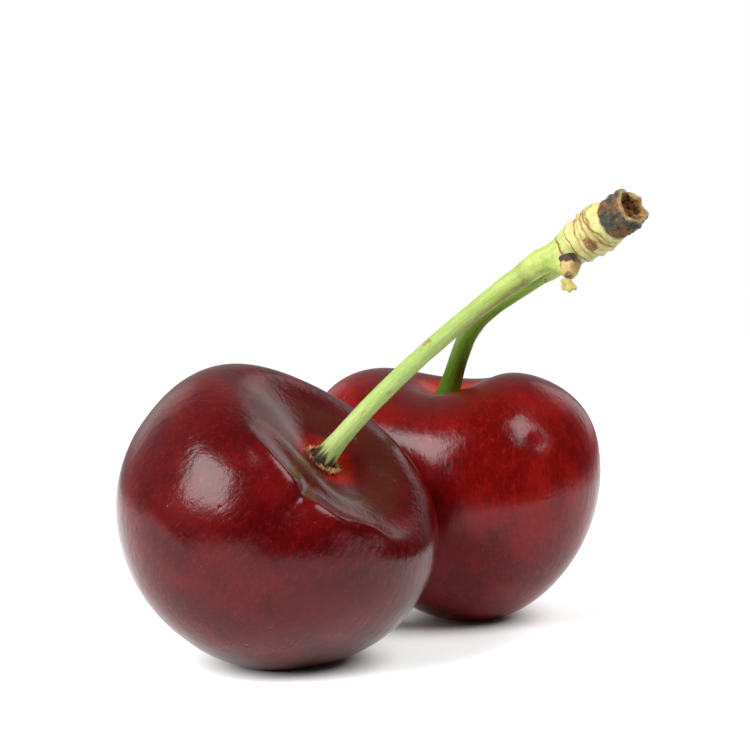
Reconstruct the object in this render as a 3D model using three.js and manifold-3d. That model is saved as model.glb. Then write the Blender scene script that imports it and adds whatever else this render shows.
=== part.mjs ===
// A pair of sweet cherries as picked: two ripe fruits whose stalks grow from one short woody spur.
// Millimetres, +Z up. Both fruits rest on z = 0, each on a small flat where its soft flesh gives,
// and hold the stalks and the spur up between them. +X runs from the large fruit to the small one.
// The origin is the middle of the pair's bounding box, at floor level.
import * as THREE from "three";
import { mergeVertices } from "three/addons/utils/BufferGeometryUtils.js";
import Module from "manifold-3d";

const wasm = await Module();
wasm.setup();

// ---------------------------------------------------------------- driving dimensions

const GAP = 0.3; // left between pieces that touch
const FRUIT_GAP = 0.5; // between the two fruits, measured along X

// across: cheek to cheek. thick: suture side to back. tall: shoulders to tip, before the pit is sunk.
// squareness: 2 is an ellipse, more is boxier. taper: how much narrower the tip half gets.
// pit: the hollow round the stalk. rimDip: how far the rim sinks over the suture and over the back.
// lean: of the stalk end from upright, towards heading. turn: of the suture round the fruit's axis.
// press: how deep the resting side is flattened. swellings: uneven growth, by polar and azimuth
// angle from the stalk end and the suture, in degrees, with a height and an angular spread.
const LARGE_FRUIT = {
  across: 29.1,
  thick: 27.7,
  tall: 23.5,
  squareness: 2.64,
  taper: 0.24,
  pitDepth: 4.65,
  pitRadius: 6.5,
  rimRadius: 7.1,
  rimDip: 1.4,
  grooveDepth: 0.2,
  lean: 39,
  heading: -77.2,
  turn: -15.5,
  press: 0.35,
  swellings: [
    { polar: 104, azimuth: 0, height: -0.7, spread: 26 },
    { polar: 70, azimuth: 177, height: 0.73, spread: 34 },
  ],
};
const SMALL_FRUIT = {
  across: 24.9,
  thick: 22.9,
  tall: 24.3,
  squareness: 2.15,
  taper: 0.2,
  pitDepth: 4.2,
  pitRadius: 4.0,
  rimRadius: 6.2,
  rimDip: 1.0,
  grooveDepth: 0.2,
  lean: 7.9,
  heading: 134.5,
  turn: 54.6,
  press: 0.3,
  swellings: [
    { polar: 67, azimuth: 126, height: 0.85, spread: 23 },
    { polar: 50, azimuth: -63, height: 3.0, spread: 32 },
  ],
};

const TAPER_POWER = 1.5;
const PIT_POWER = 1.7;
const RIM_WIDTH = 3.8;
const GROOVE_WIDTH = 0.16; // radians
const PIT_FADE = 0.45; // share of the half height over which the pit and the rim fade out

// Where the spur begins, measured from halfway between the bottoms of the two pits, and the way
// it points. STACK is the way from one stalk's end to the other's, square to the spur.
const SPUR_OFFSET = new THREE.Vector3(4.25, -14.7, 15.8);
const SPUR_DIRECTION = new THREE.Vector3(-0.04, -0.86, 0.51).normalize();
const STACK = new THREE.Vector3(-1, 0, 0.11).projectOnPlane(SPUR_DIRECTION).normalize();

// radius: in the middle; foot and neck: where it flares at the fruit and at the spur.
// footPull, headPull: how strongly each end steers the curve. bend: of the foot towards the spur.
const LARGE_STALK = {
  radius: 0.8,
  foot: 0.98,
  neck: 1.0,
  footPull: 9.2,
  headPull: 8.2,
  bend: 0,
};
const SMALL_STALK = {
  radius: 0.85,
  foot: 1.1,
  neck: 1.0,
  footPull: 8.5,
  headPull: 11.5,
  bend: 0.85,
};
const FOOT_FLARE = 0.06; // share of a stalk's length over which it narrows from its foot
const NECK_FLARE = 0.2;

// The ragged ring of flower base left round the large cherry's stalk.
const COLLAR_CLEARANCE = 0.36; // between the ring and the stalk's foot
const COLLAR_WIDTH = 0.5;
const COLLAR_HEIGHT = 0.5;

const SPUR_LENGTH = 7.2;
const SPUR_RADIUS = 1.85; // at the bark end
const SPUR_BASE_THICKNESS = 2.5; // across the narrow way, where the two stalks join it
const SCAR_COUNT = 5; // ring scars of old leaves, over the half of the spur next to the bark
const SCAR_STEP = 0.14; // how far the spur steps in behind each scar

const BARK_RADIUS = 1.8;
const BARK_LENGTH = 2.7;
const BARK_HOLLOW_RADIUS = 0.95;
const BARK_HOLLOW_DEPTH = 1.2;

// A closed side bud, low on the large cherry's side of the spur, with a dry scale hanging below it.
const BUD_RADIUS = 0.95;
const BUD_LENGTH = 1.7;
const BUD_ALONG_SPUR = 3.0;
const BUD_SIDE = new THREE.Vector3(-0.6, -0.4, -0.5); // the way it faces, once square to the spur
const BUD_SEAT = 0.05; // more room for the blunt end, where the spur is still widening
const SCALE_LENGTH = 1.4;
const SCALE_WIDTH = 1.2;
const SCALE_THICKNESS = 0.5;

const FRUIT_ROWS = 28;
const FRUIT_SECTORS = 40;
const STALK_STEPS = 22;
const STALK_SIDES = 12;
const ROUND_SIDES = 20;

// ---------------------------------------------------------------- materials

const finish = (color, roughness) =>
  new THREE.MeshStandardMaterial({ color, roughness, metalness: 0 });
const largeSkin = finish(0x6b0a0c, 0.22);
const smallSkin = finish(0x7a0c0e, 0.22);
const paleGreen = finish(0xb9d06a, 0.5);
const darkGreen = finish(0x6f9138, 0.5);
const paleWood = finish(0xe2dc8c, 0.6);
const barkBrown = finish(0x4a3420, 0.85);
const budBrown = finish(0xa07a44, 0.8);
const scarBrown = finish(0x6a4020, 0.85);

// ---------------------------------------------------------------- helpers

const radians = THREE.MathUtils.degToRad;
const bell = (distance, width) => Math.exp(-((distance / width) ** 2));

// A closed surface from rings of points, each with the same number of points, capped by two poles.
function closedRings(firstPole, rings, lastPole) {
  const points = [firstPole, ...rings.flat(), lastPole];
  const sides = rings[0].length;
  const last = points.length - 1;
  const at = (ring, side) => 1 + ring * sides + (side % sides);
  const index = [];
  for (let side = 0; side < sides; side++) {
    index.push(0, at(0, side), at(0, side + 1));
    for (let ring = 0; ring < rings.length - 1; ring++) {
      index.push(at(ring, side), at(ring + 1, side), at(ring + 1, side + 1));
      index.push(at(ring, side), at(ring + 1, side + 1), at(ring, side + 1));
    }
    index.push(last, at(rings.length - 1, side + 1), at(rings.length - 1, side));
  }
  return new THREE.BufferGeometry().setFromPoints(points).setIndex(index);
}

function solidOf(geometry) {
  const bare = geometry.clone();
  bare.deleteAttribute("normal");
  bare.deleteAttribute("uv");
  const merged = mergeVertices(bare, 1e-4);
  return new wasm.Manifold(
    new wasm.Mesh({
      numProp: 3,
      vertProperties: merged.attributes.position.array,
      triVerts: new Uint32Array(merged.index.array),
    }),
  );
}

function geometryOf(solid) {
  const { vertProperties, triVerts } = solid.getMesh();
  return new THREE.BufferGeometry()
    .setAttribute("position", new THREE.BufferAttribute(vertProperties, 3))
    .setIndex(new THREE.BufferAttribute(triVerts, 1));
}

function part(name, geometry, material) {
  geometry.computeVertexNormals();
  const mesh = new THREE.Mesh(geometry, material);
  mesh.name = name;
  return mesh;
}

// ---------------------------------------------------------------- the fruits

// The axis (towards the stalk), the suture side and the cheek side of a leaning, turned fruit.
function fruitAxes({ lean, heading, turn }) {
  const tilt = radians(lean);
  const towards = radians(heading);
  const flat = new THREE.Vector3(Math.cos(towards), Math.sin(towards), 0);
  const up = new THREE.Vector3(0, 0, 1);
  const axis = up.clone().multiplyScalar(Math.cos(tilt)).addScaledVector(flat, Math.sin(tilt));
  const downhill = flat.multiplyScalar(Math.cos(tilt)).addScaledVector(up, -Math.sin(tilt));
  const suture = downhill.applyAxisAngle(axis, radians(turn));
  const cheek = axis.clone().cross(suture);
  return { axis, suture, cheek };
}

// A point of the skin in the fruit's own frame: x to the suture, y to a cheek, z to the stalk.
function skinPoint(fruit, polar, azimuth) {
  const out = Math.sin(polar);
  const up = Math.cos(polar);
  const power = fruit.squareness;
  const reach = (Math.abs(out) ** power + Math.abs(up) ** power) ** (-1 / power);
  const height = reach * up;
  const width = reach * out * (1 - fruit.taper * Math.max(0, -height) ** TAPER_POWER);
  const point = new THREE.Vector3(
    (width * Math.cos(azimuth) * fruit.thick) / 2,
    (width * Math.sin(azimuth) * fruit.across) / 2,
    (height * fruit.tall) / 2,
  );
  const radius = Math.hypot(point.x, point.y);
  const nearStalk = THREE.MathUtils.smoothstep(height, 0, PIT_FADE);
  const overSuture = 0.5 + 0.5 * Math.cos(2 * azimuth);
  point.z -= fruit.rimDip * overSuture * bell(radius - fruit.rimRadius, RIM_WIDTH) * nearStalk;
  point.z -= fruit.pitDepth * Math.exp(-((radius / fruit.pitRadius) ** PIT_POWER)) * nearStalk;
  const fromSuture = Math.min(azimuth, 2 * Math.PI - azimuth);
  const groove = fruit.grooveDepth * bell(fromSuture, GROOVE_WIDTH) * out ** 1.5;
  point.x -= groove * Math.cos(azimuth);
  point.y -= groove * Math.sin(azimuth);
  const facing = new THREE.Vector3(out * Math.cos(azimuth), out * Math.sin(azimuth), up);
  for (const swelling of fruit.swellings) {
    const middle = new THREE.Vector3().setFromSphericalCoords(1, radians(swelling.polar), 0);
    const turned = radians(swelling.azimuth);
    // setFromSphericalCoords counts from +Y; here the polar angle counts from +Z.
    middle.set(middle.z * Math.cos(turned), middle.z * Math.sin(turned), middle.y);
    const away = THREE.MathUtils.radToDeg(facing.angleTo(middle));
    point.addScaledVector(facing, swelling.height * bell(away, swelling.spread));
  }
  return point;
}

// Polar angles with the rows closer together in the pit and at the tip.
const ROW_CROWDING = 0.09;
const rowAngle = (share) => Math.PI * (share - ROW_CROWDING * Math.sin(2 * Math.PI * share));

// The whole skin, leaning and turned, standing with its lowest point just under the floor.
function standFruit(fruit) {
  const { axis, suture, cheek } = fruitAxes(fruit);
  const frame = new THREE.Matrix4().makeBasis(suture, cheek, axis);
  const place = (polar, azimuth) => skinPoint(fruit, polar, azimuth).applyMatrix4(frame);
  const rings = [];
  for (let row = 1; row < FRUIT_ROWS; row++) {
    const ring = [];
    for (let sector = 0; sector < FRUIT_SECTORS; sector++)
      ring.push(place(rowAngle(row / FRUIT_ROWS), (sector / FRUIT_SECTORS) * 2 * Math.PI));
    rings.push(ring);
  }
  const poles = [place(0, 0), place(Math.PI, 0)];
  const lowest = Math.min(...rings.flat().map((p) => p.z));
  const centre = new THREE.Vector3(0, 0, -lowest - fruit.press);
  for (const point of [...rings.flat(), ...poles]) point.add(centre);
  return { fruit, axis, suture, cheek, centre, rings, poles };
}

const skinGeometry = ({ poles, rings }) => closedRings(poles[0], rings, poles[1]);

function moveFruit(standing, offset) {
  for (const point of [...standing.rings.flat(), ...standing.poles, standing.centre]) point.add(offset);
}

// How far apart two fruits are along X: the narrowest place where rays along X cross both skins.
const RAY_SPACING = 0.5;
const FACING_REACH = 4; // how far from the line between the centres the narrowest place may be
function gapAlongX(left, right) {
  const sides = THREE.DoubleSide;
  const skin = (fruit) => new THREE.Mesh(skinGeometry(fruit), new THREE.MeshBasicMaterial({ side: sides }));
  const leftSkin = skin(left);
  const rightSkin = skin(right);
  const middle = left.centre.clone().lerp(right.centre, 0.5);
  const ray = new THREE.Raycaster();
  let gap = Infinity;
  for (let y = -FACING_REACH; y <= FACING_REACH; y += RAY_SPACING) {
    for (let z = -FACING_REACH; z <= FACING_REACH; z += RAY_SPACING) {
      const start = middle.clone().add(new THREE.Vector3(0, y, z));
      ray.set(start, new THREE.Vector3(-1, 0, 0));
      const [toLeft] = ray.intersectObject(leftSkin);
      ray.set(start, new THREE.Vector3(1, 0, 0));
      const [toRight] = ray.intersectObject(rightSkin);
      if (toLeft && toRight) gap = Math.min(gap, toLeft.distance + toRight.distance);
    }
  }
  return gap;
}

// The fruit's solid, with its resting side cut flat at the floor.
const FLOOR_BLOCK = 100;
function fruitGeometry(standing) {
  const block = new THREE.BoxGeometry(FLOOR_BLOCK, FLOOR_BLOCK, FLOOR_BLOCK);
  block.translate(standing.centre.x, standing.centre.y, -FLOOR_BLOCK / 2);
  return geometryOf(solidOf(skinGeometry(standing)).subtract(solidOf(block)));
}

// The highest that the pit's bottom reaches within a radius of the axis, in the fruit's own frame.
function pitFloor(fruit, radius) {
  let highest = -Infinity;
  for (let sector = 0; sector < 16; sector++) {
    const azimuth = (sector / 16) * 2 * Math.PI;
    for (let polar = 0; polar < Math.PI / 2; polar += 0.01) {
      const point = skinPoint(fruit, polar, azimuth);
      if (Math.hypot(point.x, point.y) > radius) break;
      highest = Math.max(highest, point.z);
    }
  }
  return highest;
}

// ---------------------------------------------------------------- stalks, collar, spur and bud

const SPUR_SIDE = SPUR_DIRECTION.clone().cross(STACK);

// A point of a ring: so far from the middle along one direction and along another.
const offset = (middle, one, along, other, across) =>
  middle.clone().addScaledVector(one, along).addScaledVector(other, across);

// A ring of points round a middle, in the plane of two directions, as wide as wanted along each.
function ringOf(middle, one, along, other, across, sides) {
  const ring = [];
  for (let side = 0; side < sides; side++) {
    const angle = (side / sides) * 2 * Math.PI;
    ring.push(offset(middle, one, along * Math.cos(angle), other, across * Math.sin(angle)));
  }
  return ring;
}

// A stalk leaves its pit close to the fruit's axis and arrives at its place behind the spur.
function stalkCurve(stalk, standing, end) {
  const { axis, centre, fruit } = standing;
  const straight = end.clone().sub(centre).normalize();
  const start = axis.clone().lerp(straight, stalk.bend).normalize();
  const lift = stalk.foot * Math.sin(start.angleTo(axis)); // so that the tilted foot clears the pit
  const foot = centre.clone().addScaledVector(axis, pitFloor(fruit, stalk.foot) + GAP + lift);
  const steerFoot = foot.clone().addScaledVector(start, stalk.footPull);
  const steerHead = end.clone().addScaledVector(SPUR_DIRECTION, -stalk.headPull);
  return new THREE.CubicBezierCurve3(foot, steerFoot, steerHead, end);
}

const stalkRadius = (stalk, share) =>
  stalk.radius +
  (stalk.foot - stalk.radius) * bell(share, FOOT_FLARE) +
  (stalk.neck - stalk.radius) * bell(1 - share, NECK_FLARE);

function stalkGeometry(stalk, curve) {
  const frames = curve.computeFrenetFrames(STALK_STEPS, false);
  const rings = [];
  for (let step = 0; step <= STALK_STEPS; step++) {
    const share = step / STALK_STEPS;
    const radius = stalkRadius(stalk, share);
    const { normals, binormals } = frames;
    const middle = curve.getPointAt(share);
    rings.push(ringOf(middle, binormals[step], radius, normals[step], radius, STALK_SIDES));
  }
  return closedRings(curve.getPointAt(0), rings, curve.getPointAt(1));
}

// The collar lies on the pit's slope, a gap above it.
function collarGeometry(standing, stalk) {
  const inner = stalk.foot + COLLAR_CLEARANCE;
  const outer = inner + COLLAR_WIDTH;
  const low = pitFloor(standing.fruit, inner) + GAP;
  const high = pitFloor(standing.fruit, outer) + GAP;
  const profile = [
    new THREE.Vector2(inner, low),
    new THREE.Vector2(outer, high),
    new THREE.Vector2(outer, high + COLLAR_HEIGHT / 2),
    new THREE.Vector2(inner, low + COLLAR_HEIGHT),
    new THREE.Vector2(inner, low),
  ];
  const ring = new THREE.LatheGeometry(profile, ROUND_SIDES);
  ring.rotateX(Math.PI / 2); // lathes turn about +Y, fruits stand on +Z
  const { axis, suture, cheek, centre } = standing;
  const frame = new THREE.Matrix4().makeBasis(suture, cheek, axis).setPosition(centre);
  return ring.applyMatrix4(frame);
}

// The spur runs from a flattened base, wide enough for both stalks, to a round bark end. Each ring
// scar is a slow swelling towards the bark that ends in a step.
const SPUR_STEPS = 24;
const SCARRED_SHARE = 0.6;
const ROUNDED_SHARE = 0.5; // of its length, over which the flattened base turns round
function spurGeometry(base, baseWidth) {
  const rings = [];
  for (let step = 0; step <= SPUR_STEPS; step++) {
    const share = step / SPUR_STEPS;
    const rounding = THREE.MathUtils.smoothstep(share, 0, ROUNDED_SHARE);
    const scars = (Math.max(0, share - (1 - SCARRED_SHARE)) / SCARRED_SHARE) * SCAR_COUNT;
    const stepIn = SCAR_STEP * (scars % 1);
    const along = THREE.MathUtils.lerp(baseWidth / 2, SPUR_RADIUS, rounding) - stepIn;
    const across = THREE.MathUtils.lerp(SPUR_BASE_THICKNESS / 2, SPUR_RADIUS, rounding) - stepIn;
    const middle = base.clone().addScaledVector(SPUR_DIRECTION, share * SPUR_LENGTH);
    rings.push(ringOf(middle, SPUR_SIDE, across, STACK, along, ROUND_SIDES));
  }
  const tip = base.clone().addScaledVector(SPUR_DIRECTION, SPUR_LENGTH);
  return closedRings(base, rings, tip);
}

// The bark end: a short stub, broken off hollow. It is turned about +Y and then laid along the spur.
function barkGeometry(base) {
  const profile = [
    new THREE.Vector2(0, 0),
    new THREE.Vector2(BARK_RADIUS, 0),
    new THREE.Vector2(1.04 * BARK_RADIUS, 0.5 * BARK_LENGTH),
    new THREE.Vector2(0.93 * BARK_RADIUS, BARK_LENGTH),
    new THREE.Vector2(BARK_HOLLOW_RADIUS, BARK_LENGTH),
    new THREE.Vector2(0.8 * BARK_HOLLOW_RADIUS, BARK_LENGTH - BARK_HOLLOW_DEPTH),
    new THREE.Vector2(0, BARK_LENGTH - BARK_HOLLOW_DEPTH),
  ];
  return laidAlong(new THREE.LatheGeometry(profile, ROUND_SIDES), SPUR_DIRECTION, base);
}

// Turns a shape standing on +Y to point along a direction, with its base at a place.
function laidAlong(geometry, direction, place) {
  const turn = new THREE.Quaternion().setFromUnitVectors(new THREE.Vector3(0, 1, 0), direction);
  return geometry.applyQuaternion(turn).translate(place.x, place.y, place.z);
}

// The bud: an egg, blunt where it grows from the spur and pointed at its tip.
const BUD_ROWS = 10;
function budGeometry(direction, place) {
  const profile = [];
  for (let row = 0; row <= BUD_ROWS; row++) {
    const angle = (row / BUD_ROWS) * Math.PI;
    const height = (1 - Math.cos(angle)) / 2;
    const bulge = 1.15 - 0.35 * height;
    profile.push(new THREE.Vector2(BUD_RADIUS * Math.sin(angle) * bulge, BUD_LENGTH * height));
  }
  profile[0].x = 0;
  profile[BUD_ROWS].x = 0;
  return laidAlong(new THREE.LatheGeometry(profile, ROUND_SIDES), direction, place);
}

// ---------------------------------------------------------------- assembly

const large = standFruit(LARGE_FRUIT);
const small = standFruit(SMALL_FRUIT);
const apart = LARGE_FRUIT.across + SMALL_FRUIT.across;
moveFruit(small, new THREE.Vector3(apart, 0, 0));
moveFruit(small, new THREE.Vector3(FRUIT_GAP - gapAlongX(large, small), 0, 0));

const pitBottom = ({ centre, axis, fruit }) =>
  centre.clone().addScaledVector(axis, pitFloor(fruit, 0.1));
const spurBase = pitBottom(large).add(pitBottom(small)).multiplyScalar(0.5).add(SPUR_OFFSET);

const stackReach = (LARGE_STALK.neck + SMALL_STALK.neck + GAP) / 2;
const stalkPlane = spurBase.clone().addScaledVector(SPUR_DIRECTION, -GAP);
const largeEnd = stalkPlane.clone().addScaledVector(STACK, stackReach);
const smallEnd = stalkPlane.clone().addScaledVector(STACK, -stackReach);
const baseWidth = 2 * stackReach + LARGE_STALK.neck + SMALL_STALK.neck;

const barkBase = spurBase.clone().addScaledVector(SPUR_DIRECTION, SPUR_LENGTH + GAP);

const budDirection = BUD_SIDE.clone().projectOnPlane(SPUR_DIRECTION).normalize();
const budBase = spurBase
  .clone()
  .addScaledVector(SPUR_DIRECTION, BUD_ALONG_SPUR)
  .addScaledVector(budDirection, SPUR_RADIUS + GAP + BUD_SEAT);
const scaleMiddle = budBase.clone().addScaledVector(budDirection, BUD_LENGTH);
scaleMiddle.z -= SCALE_LENGTH / 2 + 2 * GAP; // the bud bulges a little below its tip
const scale = new THREE.SphereGeometry(0.5, 12, 8);
scale.scale(SCALE_WIDTH, SCALE_LENGTH, SCALE_THICKNESS);
const down = new THREE.Vector3(0, 0, -1);

const largeStalk = stalkGeometry(LARGE_STALK, stalkCurve(LARGE_STALK, large, largeEnd));
const smallStalk = stalkGeometry(SMALL_STALK, stalkCurve(SMALL_STALK, small, smallEnd));

const pair = new THREE.Group();
pair.add(part("large_cherry", fruitGeometry(large), largeSkin));
pair.add(part("small_cherry", fruitGeometry(small), smallSkin));
pair.add(part("large_cherry_stalk", largeStalk, paleGreen));
pair.add(part("small_cherry_stalk", smallStalk, darkGreen));
pair.add(part("large_cherry_collar", collarGeometry(large, LARGE_STALK), scarBrown));
pair.add(part("spur", spurGeometry(spurBase, baseWidth), paleWood));
pair.add(part("bark_cap", barkGeometry(barkBase), barkBrown));
pair.add(part("side_bud", budGeometry(budDirection, budBase), budBrown));
pair.add(part("bud_scale", laidAlong(scale, down, scaleMiddle), paleWood));

// The origin goes to the middle of the bounding box, at floor level.
const box = new THREE.Box3().setFromObject(pair);
const middle = box.getCenter(new THREE.Vector3());
for (const mesh of pair.children) mesh.geometry.translate(-middle.x, -middle.y, -box.min.z);

export default pair;
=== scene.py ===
# %% [markdown]
# A pair of sweet cherries, still joined by their stalks to one short woody spur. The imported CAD
# model says where every piece is; this script gives each piece its real skin. Blender works in
# metres with +Z up. Sizes here are in millimetres, and MM turns them into metres for a mesh.

import math

import bmesh
import bpy
import numpy as np
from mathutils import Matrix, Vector


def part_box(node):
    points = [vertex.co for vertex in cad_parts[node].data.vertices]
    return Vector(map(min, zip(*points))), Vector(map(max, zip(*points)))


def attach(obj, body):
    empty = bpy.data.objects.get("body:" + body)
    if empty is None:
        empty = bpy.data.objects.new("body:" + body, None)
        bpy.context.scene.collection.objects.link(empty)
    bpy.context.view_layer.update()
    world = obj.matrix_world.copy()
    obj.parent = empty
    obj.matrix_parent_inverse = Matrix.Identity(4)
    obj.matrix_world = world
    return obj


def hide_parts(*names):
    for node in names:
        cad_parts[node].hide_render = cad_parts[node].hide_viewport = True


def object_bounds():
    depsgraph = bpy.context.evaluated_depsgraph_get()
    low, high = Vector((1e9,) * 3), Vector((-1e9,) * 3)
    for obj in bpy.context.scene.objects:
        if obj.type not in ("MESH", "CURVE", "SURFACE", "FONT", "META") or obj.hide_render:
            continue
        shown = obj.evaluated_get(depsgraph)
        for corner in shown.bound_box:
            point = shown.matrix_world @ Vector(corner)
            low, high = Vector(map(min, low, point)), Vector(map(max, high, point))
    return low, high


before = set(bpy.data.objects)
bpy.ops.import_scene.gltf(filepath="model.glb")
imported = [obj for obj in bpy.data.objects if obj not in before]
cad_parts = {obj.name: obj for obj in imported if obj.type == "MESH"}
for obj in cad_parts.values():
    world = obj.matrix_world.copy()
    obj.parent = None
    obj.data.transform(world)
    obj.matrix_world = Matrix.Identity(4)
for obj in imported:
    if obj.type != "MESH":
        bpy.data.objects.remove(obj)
cad_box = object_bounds()
MM = 0.001
low, high = (np.array(corner) for corner in cad_box)
print("CAD box, mm:", ((high - low) / MM).round(1))

# %% [markdown]
# The camera comes first, because the light is placed by the way it looks. A long lens from about
# a third of a metre keeps the front fruit from looking swollen, as a shorter lens would.

# %% Camera
AZIMUTH = math.radians(-50.6)
ELEVATION = math.radians(7.8)
CAMERA_DISTANCE = 361 * MM
FOCAL_LENGTH = 197.5  # for Blender's own sensor width of 36 mm
AIM = Vector((0.02, 4.86, 24.06)) * MM

right = Vector((math.cos(AZIMUTH), math.sin(AZIMUTH), 0))
toward = Vector(
    (
        math.sin(AZIMUTH) * math.cos(ELEVATION),
        -math.cos(AZIMUTH) * math.cos(ELEVATION),
        math.sin(ELEVATION),
    )
)
upward = toward.cross(right)


def seen_from(across, up, near):
    """A direction given as the camera sees it: to its right, upwards and towards it."""
    return (right * across + upward * up + toward * near).normalized()


def add_object(name, data):
    made = bpy.data.objects.new(name, data)
    bpy.context.scene.collection.objects.link(made)
    return made


camera = add_object("camera", bpy.data.cameras.new("camera"))
camera.data.lens = FOCAL_LENGTH
camera.location = AIM + toward * CAMERA_DISTANCE
camera.rotation_mode = "QUATERNION"
camera.rotation_quaternion = (-toward).to_track_quat("-Z", "Y")
bpy.context.scene.camera = camera
bpy.context.scene.view_settings.view_transform = "Standard"
print("camera at, mm:", tuple(round(v / MM) for v in camera.location))

# %% [markdown]
# Shader sums could be built node by node, but they are easier to read as sums. A Field is any
# socket that carries a value, and adding or multiplying Fields adds the Math nodes.


# %% Sums of values
class Field:
    """A value that varies over a surface: a socket that can be added, multiplied and so on."""

    def __init__(self, graph, socket):
        self.graph = graph
        self.socket = socket

    def math(self, operation, *values, clamp=False):
        settings = {"operation": operation, "use_clamp": clamp}
        return self.graph.node("ShaderNodeMath", settings, dict(enumerate(values)))

    def __add__(self, other):
        return self.math("ADD", self, other)

    def __sub__(self, other):
        return self.math("SUBTRACT", self, other)

    def __rsub__(self, other):
        return self.math("SUBTRACT", other, self)

    def __mul__(self, other):
        return self.math("MULTIPLY", self, other)

    def __truediv__(self, other):
        return self.math("DIVIDE", self, other)

    def __pow__(self, other):
        return self.math("POWER", self, other)

    __radd__ = __add__
    __rmul__ = __mul__

    def clamped(self):
        return self.math("ADD", self, 0.0, clamp=True)

    def step(self, start, end):
        """0 up to start, 1 from end on, and a smooth rise between."""
        span = {"Value": self, "From Min": start, "From Max": end}
        settings = {"interpolation_type": "SMOOTHSTEP", "clamp": True}
        return self.graph.node("ShaderNodeMapRange", settings, span)


# %% [markdown]
# A Graph is any node tree. Its node method makes every kind of node from a type, its settings and
# what its sockets get, and gives back one output. A Finish is the Graph of one material: its own
# methods are the few patterns that come back in every skin here.


# %% Graphs and finishes
class Graph:
    """A node tree, and one way to add any node to it."""

    def node(self, kind, settings=None, inputs=None, output=0):
        made = self.tree.nodes.new(kind)
        for name, value in (settings or {}).items():
            setattr(made, name, value)
        for name, value in (inputs or {}).items():
            self.feed(made.inputs[name], value)
        return None if output is None else Field(self, made.outputs[output])

    def feed(self, socket, value):
        if isinstance(value, Field):
            self.tree.links.new(value.socket, socket)
        elif socket.type == "RGBA" and len(value) == 3:
            socket.default_value = (*value, 1)
        else:
            socket.default_value = value

    def split(self, vector):
        """The x, y and z of a vector."""
        parts = self.node("ShaderNodeSeparateXYZ", {}, {"Vector": vector}).socket.node.outputs
        return [Field(self, socket) for socket in parts]

    def noise(self, vector, scale, detail=4.0, roughness=0.55, distortion=0.0):
        inputs = {
            "Vector": vector,
            "Scale": scale,
            "Detail": detail,
            "Roughness": roughness,
            "Distortion": distortion,
        }
        return self.node("ShaderNodeTexNoise", {}, inputs)

    def cells(self, vector, scale):
        inputs = {"Vector": vector, "Scale": scale, "Randomness": 1.0}
        return self.node("ShaderNodeTexVoronoi", {}, inputs)


class Finish(Graph):
    """One material and the nodes in it."""

    def __init__(self, name):
        self.material = bpy.data.materials.new(name)
        self.material.use_nodes = True
        self.tree = self.material.node_tree
        self.shader = self.tree.nodes["Principled BSDF"]

    def attribute(self, name, output=2):
        return self.node("ShaderNodeAttribute", {"attribute_name": name}, output=output)

    def stretched(self, vector, scale):
        return self.node("ShaderNodeMapping", {}, {"Vector": vector, "Scale": scale})

    def blend(self, one, other, amount, way="MIX"):
        """One colour turning into another, by an amount from 0 to 1."""
        settings = {"data_type": "RGBA", "blend_type": way}
        return self.node("ShaderNodeMix", settings, {0: amount, 6: one, 7: other}, output=2)

    def bumped(self, height):
        """A normal for a relief whose height is in mm."""
        inputs = {"Height": height, "Distance": MM, "Strength": 1.0}
        return self.node("ShaderNodeBump", {}, inputs)

    def fixed(self, name, value):
        """A socket that is the same all over, such as how strongly the surface mirrors."""
        self.shader.inputs[name].default_value = value

    def set(self, **sockets):
        for name, value in sockets.items():
            self.feed(self.shader.inputs[name.replace("_", " ")], value)
        print("finish", self.material.name, "has", len(self.tree.nodes), "nodes")
        return self.material


# %% [markdown]
# The two fruits share one rule: an egg-like body, squarer or rounder, narrower towards the tip,
# with a hollow round the stalk, a rim, a groove and a few uneven swellings. Their sizes are the
# CAD model's. Only what is too fine for it is added here: folds and a notch in the front rim, and
# a low bump with a dimple on the rear fruit, which are its last two swellings.

# %% Sizes of the two fruits
LARGE_FRUIT = {
    "across": 29.1,
    "thick": 27.7,
    "tall": 23.5,
    "squareness": 2.64,
    "taper": 0.24,
    "pit_depth": 4.65,
    "pit_radius": 6.5,
    "rim_radius": 7.1,
    "rim_dip": 1.4,
    "lean": 39,
    "heading": -77.2,
    "turn": -15.5,
    "groove_at": 304,
    # swellings: angle from the stalk, azimuth, height and spread, in degrees but for the height
    "swellings": [(104, 0, -0.7, 26), (70, 177, 0.73, 34)],
    # folds of the rim: azimuth, radius, height, spread round the stalk in degrees, width
    "folds": [
        (284, 10.6, 0.72, 25, 0.95),
        (324, 11.1, 0.68, 17, 0.95),
        (344, 10.0, 0.75, 15, 0.90),
        (306, 11.0, -0.65, 5, 2.2),
        (305, 7.8, -0.55, 48, 1.6),
    ],
}
SMALL_FRUIT = {
    "across": 24.9,
    "thick": 22.9,
    "tall": 24.3,
    "squareness": 2.15,
    "taper": 0.2,
    "pit_depth": 4.2,
    "pit_radius": 4.0,
    "rim_radius": 6.2,
    "rim_dip": 1.0,
    "lean": 7.9,
    "heading": 134.5,
    "turn": 54.6,
    "groove_at": 180,
    "swellings": [
        (67, 126, 0.85, 23),
        (50, -63, 3.0, 32),
        (60, 60, 0.3, 12),
        (66, 66, -0.16, 5.5),
    ],
    "folds": [],
}
TAPER_POWER = 1.5
PIT_POWER = 1.7
RIM_WIDTH = 3.8
GROOVE_DEPTH = 0.2
GROOVE_WIDTH = 9  # degrees
PIT_FADE = 0.45  # share of the height over which the pit and rim come in
print("fruits, mm across:", LARGE_FRUIT["across"], "and", SMALL_FRUIT["across"])

# %% [markdown]
# A sphere pushed about by hand would do for one fruit, but a rule keeps the skin where the CAD
# solid is, and it can be drawn finely enough to show the folds. Every point starts as a direction
# from the middle, and each feature of the fruit moves it a little.


# %% The shape of a fruit
def bell(distance, width):
    return np.exp(-((distance / width) ** 2))


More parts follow.
